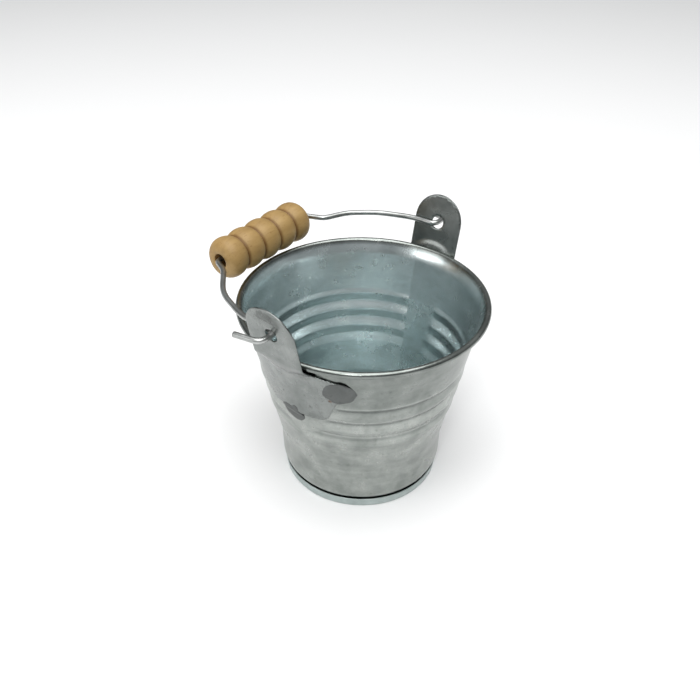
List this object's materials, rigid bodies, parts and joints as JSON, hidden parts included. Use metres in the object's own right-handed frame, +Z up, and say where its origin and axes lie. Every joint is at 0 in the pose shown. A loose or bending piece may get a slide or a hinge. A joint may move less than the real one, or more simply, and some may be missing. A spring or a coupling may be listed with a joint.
{
  "type": "sand bucket",
  "caption": "Small galvanised steel pail with a rolled rim, rolled beads, lapped side seam, welded ears, a swinging wire bail and a turned wooden grip.",
  "frame": {"origin": "centre of the base, on the floor that the pail stands on, on the pail's own axis", "axes": "+Z up along the pail's axis; X through the two ears and along the bail's pivot; at rest the bail lies towards +Y"},
  "size_m": [0.0978, 0.0898, 0.0844],
  "materials": {
    "galvanised_body": "satin galvanised",
    "galvanised_bottom": "satin galvanised",
    "galvanised_ears": "satin galvanised",
    "weld_marks": "dull, burnt",
    "bail_wire": "bright drawn",
    "beech": "bare sanded"
  },
  "bodies": {
    "bucket": {"body_wall": "galvanised_body", "bottom_disc": "galvanised_bottom", "ear_left": "galvanised_ears", "ear_right": "galvanised_ears", "spot_welds": "weld_marks"},
    "bail": {"bail_wire": "bail_wire"},
    "grip": {"wooden_grip": "beech"}
  },
  "joints": [
    {"name": "bail_swing", "type": "hinge", "parent": "bucket", "child": "bail", "pos_m": [0, 0, 0.0751], "axis": [1, 0, 0], "range_deg": [0, 186.7]},
    {"name": "grip_spin", "type": "hinge", "parent": "bail", "child": "grip", "pos_m": [0, 0.04283, 0.0726], "axis": [1, 0, 0], "continuous": true}
  ]
}
